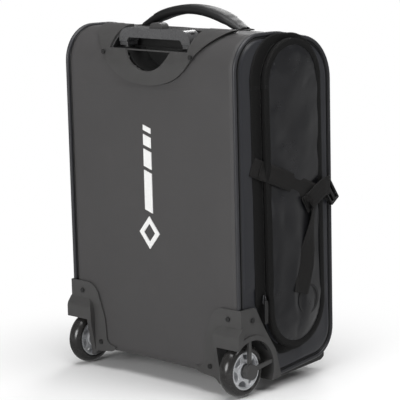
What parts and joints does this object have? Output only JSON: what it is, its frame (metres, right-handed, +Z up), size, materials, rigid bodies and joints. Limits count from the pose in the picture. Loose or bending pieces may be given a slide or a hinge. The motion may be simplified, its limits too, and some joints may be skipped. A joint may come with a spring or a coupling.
{
  "type": "wheeled skate bag",
  "caption": "Upright wheeled trolley bag for skates, with a telescopic pull handle, padded carry handle, zipped side skate pockets with compression straps and a zipped front lid.",
  "frame": {"origin": "on the floor, at the middle of the bag's width and of its depth from the front pocket to the wheels", "axes": "+Z up; the front lid faces -Y and the back panel with the pull handle faces +Y; X runs across the width"},
  "size_m": [0.3822, 0.258, 0.563],
  "materials": {
    "coated_sheet": "matte coated fabric",
    "tarpaulin": "satin coated tarpaulin",
    "flap_tarpaulin": "semi-gloss coated tarpaulin",
    "lining": "woven lining",
    "piping_cord": "satin",
    "webbing": "woven webbing",
    "leatherette": "padded leatherette",
    "board": "plain sheet",
    "moulded_black": "moulded",
    "moulded_grey": "satin moulded",
    "grip_plastic": "satin gloss",
    "tube_metal": "drawn and anodised",
    "steel": "plain",
    "black_screw": "black zinc",
    "bearing_steel": "shielded bearing",
    "tyre_rubber": "polished urethane",
    "hub_plastic": "silver moulded",
    "badge_rubber": "embossed rubber",
    "zip_metal": "dark nickel",
    "pull_tape": "woven tape"
  },
  "bodies": {
    "bag": {"back_panel": "coated_sheet", "front_panel": "tarpaulin", "side_panel_left": "tarpaulin", "side_panel_right": "tarpaulin", "piping_left": "piping_cord", "piping_right": "piping_cord", "back_board": "board", "bottom_plate": "moulded_black", "front_foot": "moulded_black", "foot_screws": "steel", "handle_bezel": "moulded_grey", "handle_cup": "moulded_black", "bezel_screws": "black_screw", "outer_tubes": "tube_metal", "outer_collars": "moulded_black", "tube_feet": "moulded_black", "wheel_housing_left": "moulded_grey", "wheel_housing_right": "moulded_grey", "housing_screws_left": "black_screw", "housing_screws_right": "black_screw", "axle_left": "steel", "axle_right": "steel", "carry_handle_anchors": "leatherette", "pocket_liner_left": "lining", "pocket_liner_right": "lining", "strap_anchor_left": "webbing", "strap_anchor_right": "webbing", "buckle_left": "moulded_black", "buckle_right": "moulded_black", "strap_fronts": "webbing"},
    "middle_stage": {"mid_tubes": "tube_metal", "mid_collars": "moulded_black"},
    "top_stage": {"inner_tubes": "tube_metal", "grip_sockets": "grip_plastic", "grip": "grip_plastic"},
    "release": {"release_button": "grip_plastic", "push_rods": "steel"},
    "wheel_left": {"tyre_left": "tyre_rubber", "hub_left": "hub_plastic", "bearings_left": "bearing_steel", "spacer_left": "steel"},
    "wheel_right": {"tyre_right": "tyre_rubber", "hub_right": "hub_plastic", "bearings_right": "bearing_steel", "spacer_right": "steel"},
    "handle": {"carry_handle": "leatherette"},
    "flap_left_body": {"side_flap_left": "flap_tarpaulin", "flap_badge_left": "badge_rubber", "strap_left": "webbing"},
    "flap_right_body": {"side_flap_right": "flap_tarpaulin", "flap_badge_right": "badge_rubber", "strap_right": "webbing"},
    "flap_zip_left": {"flap_slider_left": "zip_metal", "flap_pull_left": "pull_tape"},
    "flap_zip_right": {"flap_slider_right": "zip_metal", "flap_pull_right": "pull_tape"},
    "lid": {"front_lid": "flap_tarpaulin", "front_pocket": "flap_tarpaulin"},
    "lid_zip": {"lid_sliders": "zip_metal", "lid_pulls": "pull_tape"}
  },
  "joints": [
    {"name": "middle_stage_slide", "type": "slide", "parent": "bag", "child": "middle_stage", "axis": [0, 0, 1], "range_m": [0, 0.23]},
    {"name": "top_stage_slide", "type": "slide", "parent": "middle_stage", "child": "top_stage", "axis": [0, 0, 1], "range_m": [0, 0.23]},
    {"name": "release_press", "type": "slide", "parent": "top_stage", "child": "release", "axis": [0, 0, -1], "range_m": [0, 0.004], "stiffness_N_per_m": 400},
    {"name": "wheel_left_spin", "type": "hinge", "parent": "bag", "child": "wheel_left", "pos_m": [-0.16, 0.089, 0.04], "axis": [1, 0, 0], "continuous": true},
    {"name": "wheel_right_spin", "type": "hinge", "parent": "bag", "child": "wheel_right", "pos_m": [0.16, 0.089, 0.04], "axis": [1, 0, 0], "continuous": true},
    {"name": "carry_handle_fold", "type": "hinge", "parent": "bag", "child": "handle", "pos_m": [0, 0, 0.533], "axis": [1, 0, 0], "range_deg": [-30, 35]},
    {"name": "flap_left_open", "type": "hinge", "parent": "bag", "child": "flap_left_body", "pos_m": [-0.1828, -0.076, 0.289], "axis": [0, 0, 1], "range_deg": [0, 90]},
    {"name": "flap_right_open", "type": "hinge", "parent": "bag", "child": "flap_right_body", "pos_m": [0.1828, -0.076, 0.289], "axis": [0, 0, -1], "range_deg": [0, 90]},
    {"name": "flap_zip_left_slide", "type": "slide", "parent": "bag", "child": "flap_zip_left", "axis": [0, 0, 1], "range_m": [0, 0.13]},
    {"name": "flap_zip_right_slide", "type": "slide", "parent": "bag", "child": "flap_zip_right", "axis": [0, 0, 1], "range_m": [0, 0.13]},
    {"name": "lid_open", "type": "hinge", "parent": "bag", "child": "lid", "pos_m": [0, -0.1043, 0.082], "axis": [1, 0, 0], "range_deg": [0, 80]},
    {"name": "lid_zip_slide", "type": "slide", "parent": "bag", "child": "lid_zip", "axis": [1, 0, 0], "range_m": [-0.1, 0.05]}
  ]
}
